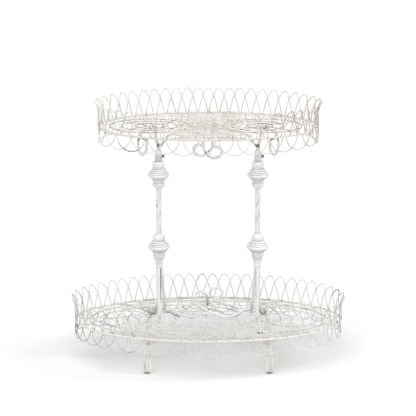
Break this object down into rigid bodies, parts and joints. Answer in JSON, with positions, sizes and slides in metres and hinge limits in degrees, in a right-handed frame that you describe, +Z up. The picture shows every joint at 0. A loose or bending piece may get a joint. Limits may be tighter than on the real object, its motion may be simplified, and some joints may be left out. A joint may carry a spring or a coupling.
{
  "type": "two-tier wire stand",
  "caption": "Oval two-tier wire stand: looped wire baskets on two turned posts, with a lift-off upper tray locked by thumb screws.",
  "frame": {"origin": "middle of the stand's footprint, on the surface that the feet rest on", "axes": "+Z up, +X along the baskets' length with the thumb screws' heads on the +X side of each post, -Y towards the front, where each post's straight rod stands"},
  "size_m": [0.611, 0.333, 0.594],
  "materials": {
    "wire_paint": "worn antique white paint on thin steel wire, with rust showing",
    "rim_paint": "worn cream paint on thick steel wire, with rust and dark chips",
    "cast_paint": "off-white paint rubbed grey over turned and cast iron",
    "screw_black": "plain black, slightly shiny"
  },
  "bodies": {
    "base": {"lower_rim": "rim_paint", "lower_fence": "wire_paint", "lower_lobes": "wire_paint", "lower_floor_net": "wire_paint", "lower_floor_ring": "wire_paint", "leg_bar_left": "rim_paint", "leg_bar_right": "rim_paint", "rod_front_left": "cast_paint", "rod_front_right": "cast_paint", "rod_inner_left": "cast_paint", "rod_inner_right": "cast_paint", "rod_outer_left": "cast_paint", "rod_outer_right": "cast_paint", "cup_left": "cast_paint", "cup_right": "cast_paint", "lower_collar_left": "cast_paint", "lower_collar_right": "cast_paint", "lower_knob_left": "cast_paint", "lower_knob_right": "cast_paint", "lower_dome_left": "cast_paint", "lower_dome_right": "cast_paint", "shaft_left": "cast_paint", "shaft_right": "cast_paint", "upper_collar_left": "cast_paint", "upper_collar_right": "cast_paint", "upper_knob_left": "cast_paint", "upper_knob_right": "cast_paint", "upper_dome_left": "cast_paint", "upper_dome_right": "cast_paint", "sleeve_left": "cast_paint", "sleeve_right": "cast_paint", "lower_bow_left": "cast_paint", "lower_bow_right": "cast_paint"},
    "upper_tray": {"upper_rim": "rim_paint", "upper_fence": "wire_paint", "upper_lobes": "wire_paint", "upper_floor_net": "wire_paint", "upper_floor_ring": "wire_paint", "stem_left": "rim_paint", "stem_right": "rim_paint", "upper_brace": "rim_paint", "upper_bow_left": "cast_paint", "upper_bow_right": "cast_paint", "side_loop_left": "rim_paint", "side_loop_right": "rim_paint"},
    "left_screw": {"thumb_screw_left": "screw_black"},
    "right_screw": {"thumb_screw_right": "screw_black"}
  },
  "joints": [
    {"name": "tray_lift", "type": "slide", "parent": "base", "child": "upper_tray", "axis": [0, 0, 1], "range_m": [0, 0.03]},
    {"name": "left_screw_turn", "type": "hinge", "parent": "base", "child": "left_screw", "pos_m": [-0.109, 0, 0.46923], "axis": [1, 0, 0], "range_deg": [0, 450]},
    {"name": "right_screw_turn", "type": "hinge", "parent": "base", "child": "right_screw", "pos_m": [0.109, 0, 0.46923], "axis": [1, 0, 0], "range_deg": [0, 450]}
  ]
}
